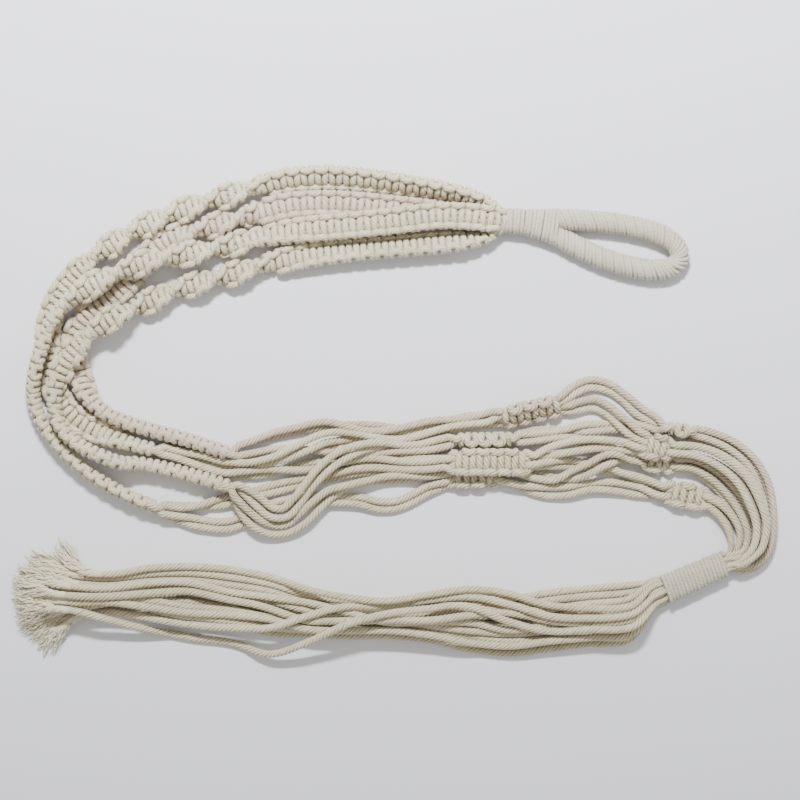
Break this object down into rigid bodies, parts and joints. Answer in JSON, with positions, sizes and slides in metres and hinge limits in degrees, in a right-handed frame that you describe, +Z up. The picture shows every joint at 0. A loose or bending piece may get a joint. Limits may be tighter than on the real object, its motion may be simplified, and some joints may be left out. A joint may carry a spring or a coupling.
{
  "type": "hanging macrame planter",
  "caption": "Macrame plant hanger in soft cotton rope, folded and laid flat: wrapped loop, knotted and twisted arms, netted pot cradle, gathering wrap and long frayed tassel.",
  "frame": {"origin": "on the floor under the middle of the object's bounding box", "axes": "+X along the folded hanger towards the loop, +Y from the tassel towards the arms, +Z up from the floor it lies on"},
  "size_m": [0.3798, 0.2467, 0.0239],
  "materials": {
    "cotton": "matt twisted cotton rope, undyed",
    "blush_cotton": "matt twisted cotton rope, faintly pink",
    "whipping": "matt cotton cord wound tightly"
  },
  "bodies": {
    "folded_hanger": {"arm_a_flat_sinnet": "cotton", "arm_a_spiral_sinnet": "cotton", "arm_a_lower_sinnet": "cotton", "arm_b_flat_sinnet": "blush_cotton", "arm_b_spiral_sinnet": "blush_cotton", "arm_b_lower_sinnet": "blush_cotton", "arm_c_flat_sinnet": "cotton", "arm_c_spiral_sinnet": "cotton", "arm_c_lower_sinnet": "cotton", "arm_d_flat_sinnet": "cotton", "arm_d_spiral_sinnet": "cotton", "arm_d_lower_sinnet": "cotton", "upper_knot_1": "cotton", "upper_knot_2": "cotton", "upper_knot_3": "cotton", "upper_knot_4": "cotton", "lower_knot_1": "cotton", "lower_knot_2": "cotton", "lower_knot_3": "cotton", "lower_knot_4": "cotton", "cords_arm_b_to_knot_1": "cotton", "cords_arm_a_to_knot_1": "cotton", "cords_arm_b_to_knot_2": "cotton", "cords_arm_d_to_knot_2": "cotton", "cords_arm_a_to_knot_3": "cotton", "cords_arm_c_to_knot_3": "cotton", "cords_arm_d_to_knot_4": "cotton", "cords_arm_c_to_knot_4": "cotton", "cords_knot_1_to_knot_5": "cotton", "cords_knot_1_to_knot_6": "cotton", "cords_knot_2_to_knot_5": "cotton", "cords_knot_2_to_knot_8": "cotton", "cords_knot_3_to_knot_6": "cotton", "cords_knot_3_to_knot_7": "cotton", "cords_knot_4_to_knot_8": "cotton", "cords_knot_4_to_knot_7": "cotton", "gather_wrap": "whipping", "cords_from_knot_5": "cotton", "cords_from_knot_6": "cotton", "cords_from_knot_7": "cotton", "cords_from_knot_8": "cotton"},
    "hanging_loop": {"loop_cord_bundle": "cotton", "loop_wrap": "whipping", "neck_wrap": "whipping"},
    "tassel": {"tassel_cord_1": "cotton", "tassel_cord_2": "cotton", "tassel_cord_3": "cotton", "tassel_cord_4": "cotton", "tassel_cord_5": "cotton", "tassel_cord_6": "cotton", "tassel_cord_7": "cotton", "tassel_cord_8": "cotton", "tassel_cord_9": "cotton", "tassel_cord_10": "cotton", "tassel_cord_11": "cotton", "tassel_cord_12": "cotton", "tassel_cord_13": "cotton", "tassel_cord_14": "cotton", "tassel_cord_15": "cotton", "tassel_cord_16": "cotton"}
  },
  "joints": [
    {"name": "loop_swing", "type": "hinge", "parent": "folded_hanger", "child": "hanging_loop", "pos_m": [0.0532, 0.095, 0.0057], "axis": [0, 0, 1], "range_deg": [-14, 14]},
    {"name": "tassel_swing", "type": "hinge", "parent": "folded_hanger", "child": "tassel", "pos_m": [0.1328, -0.0903, 0.0057], "axis": [0, 0, 1], "range_deg": [-3, 14]}
  ]
}
